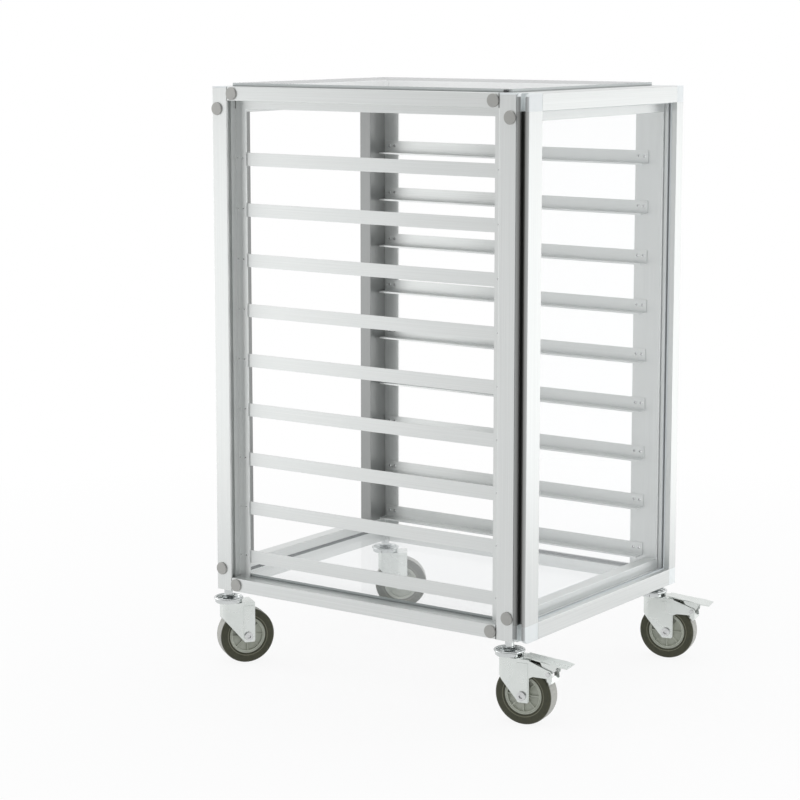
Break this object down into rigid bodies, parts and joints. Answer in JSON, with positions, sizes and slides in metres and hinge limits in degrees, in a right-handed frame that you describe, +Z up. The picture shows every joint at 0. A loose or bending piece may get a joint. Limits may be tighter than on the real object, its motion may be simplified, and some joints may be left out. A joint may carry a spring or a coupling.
{
  "type": "bakery rack trolley",
  "caption": "Low aluminium tray rack on swivel casters, with L runners on both sides, clear top and floor sheets and a clear hinged door.",
  "frame": {"origin": "on the floor, under the middle of the frame's plan", "axes": "+X from the open end to the door end, +Y from the front side to the rear side, +Z up"},
  "size_m": [0.763, 0.5888, 1.078],
  "materials": {
    "anodised_aluminium": "satin anodised",
    "clear_sheet": "clear polished sheet",
    "cap_plastic": "grey moulded",
    "pale_plastic": "pale grey moulded",
    "zinc_plate": "bright zinc plated",
    "hinge_steel": "satin",
    "steel": "zinc plated fasteners",
    "tyre": "dark olive grey rubber",
    "hub": "grey moulded"
  },
  "bodies": {
    "root": {"post_front_left": "anodised_aluminium", "post_front_right": "anodised_aluminium", "post_rear_left": "anodised_aluminium", "post_rear_right": "anodised_aluminium", "post_plugs": "pale_plastic", "top_rail_front": "anodised_aluminium", "top_rail_rear": "anodised_aluminium", "base_rail_front": "anodised_aluminium", "base_rail_rear": "anodised_aluminium", "top_end_rail_left": "anodised_aluminium", "top_end_rail_right": "anodised_aluminium", "base_end_rail_left": "anodised_aluminium", "base_end_rail_right": "anodised_aluminium", "tray_stops": "anodised_aluminium", "joint_caps": "cap_plastic", "end_rail_bolts": "steel", "corner_cams": "steel", "top_sheet": "clear_sheet", "floor_sheet": "clear_sheet", "tray_runners_1": "anodised_aluminium", "tray_runners_2": "anodised_aluminium", "tray_runners_3": "anodised_aluminium", "tray_runners_4": "anodised_aluminium", "tray_runners_5": "anodised_aluminium", "tray_runners_6": "anodised_aluminium", "tray_runners_7": "anodised_aluminium", "tray_runners_8": "anodised_aluminium", "tray_runners_9": "anodised_aluminium", "runner_screws": "steel", "hinge_leaves_frame": "hinge_steel", "hinge_pins": "steel", "mount_front_left": "zinc_plate", "mount_rear_left": "zinc_plate", "mount_front_right": "zinc_plate", "mount_rear_right": "zinc_plate"},
    "door": {"door_handle_stile": "anodised_aluminium", "door_hinge_stile": "anodised_aluminium", "door_base_rail": "anodised_aluminium", "door_top_rail": "anodised_aluminium", "door_corners": "pale_plastic", "door_pane": "clear_sheet", "hinge_leaves_door": "hinge_steel"},
    "fork_front_left": {"fork_front_left": "zinc_plate", "axle_front_left": "steel"},
    "wheel_front_left": {"hub_front_left": "hub", "tyre_front_left": "tyre"},
    "fork_rear_left": {"fork_rear_left": "zinc_plate", "axle_rear_left": "steel"},
    "wheel_rear_left": {"hub_rear_left": "hub", "tyre_rear_left": "tyre"},
    "fork_front_right": {"fork_front_right": "zinc_plate", "axle_front_right": "steel"},
    "wheel_front_right": {"hub_front_right": "hub", "tyre_front_right": "tyre"},
    "pedal_front_right": {"pedal_front_right": "zinc_plate"},
    "fork_rear_right": {"fork_rear_right": "zinc_plate", "axle_rear_right": "steel"},
    "wheel_rear_right": {"hub_rear_right": "hub", "tyre_rear_right": "tyre"},
    "pedal_rear_right": {"pedal_rear_right": "zinc_plate"}
  },
  "joints": [
    {"name": "door_hinge", "type": "hinge", "parent": "root", "child": "door", "pos_m": [0.32525, 0.27, 0.607], "axis": [0, 0, 1], "range_deg": [0, 180]},
    {"name": "swivel_front_left", "type": "hinge", "parent": "root", "child": "fork_front_left", "pos_m": [-0.3105, -0.251, 0.127], "axis": [0, 0, 1], "continuous": true},
    {"name": "roll_front_left", "type": "hinge", "parent": "fork_front_left", "child": "wheel_front_left", "pos_m": [-0.29215, -0.22479, 0.052], "axis": [-0.8192, 0.5736, 0], "continuous": true},
    {"name": "swivel_rear_left", "type": "hinge", "parent": "root", "child": "fork_rear_left", "pos_m": [-0.3105, 0.251, 0.127], "axis": [0, 0, 1], "continuous": true},
    {"name": "roll_rear_left", "type": "hinge", "parent": "fork_rear_left", "child": "wheel_rear_left", "pos_m": [-0.28429, 0.26935, 0.052], "axis": [-0.5736, 0.8192, 0], "continuous": true},
    {"name": "swivel_front_right", "type": "hinge", "parent": "root", "child": "fork_front_right", "pos_m": [0.3105, -0.251, 0.127], "axis": [0, 0, 1], "continuous": true},
    {"name": "roll_front_right", "type": "hinge", "parent": "fork_front_right", "child": "wheel_front_right", "pos_m": [0.34211, -0.24599, 0.052], "axis": [-0.1564, 0.9877, 0], "continuous": true},
    {"name": "brake_front_right", "type": "hinge", "parent": "fork_front_right", "child": "pedal_front_right", "pos_m": [0.38952, -0.23849, 0.095], "axis": [-0.1564, 0.9877, 0], "range_deg": [0, 10]},
    {"name": "swivel_rear_right", "type": "hinge", "parent": "root", "child": "fork_rear_right", "pos_m": [0.3105, 0.251, 0.127], "axis": [0, 0, 1], "continuous": true},
    {"name": "roll_rear_right", "type": "hinge", "parent": "fork_rear_right", "child": "wheel_rear_right", "pos_m": [0.34155, 0.25874, 0.052], "axis": [-0.2419, 0.9703, 0], "continuous": true},
    {"name": "brake_rear_right", "type": "hinge", "parent": "fork_rear_right", "child": "pedal_rear_right", "pos_m": [0.38812, 0.27035, 0.095], "axis": [-0.2419, 0.9703, 0], "range_deg": [0, 10]}
  ]
}
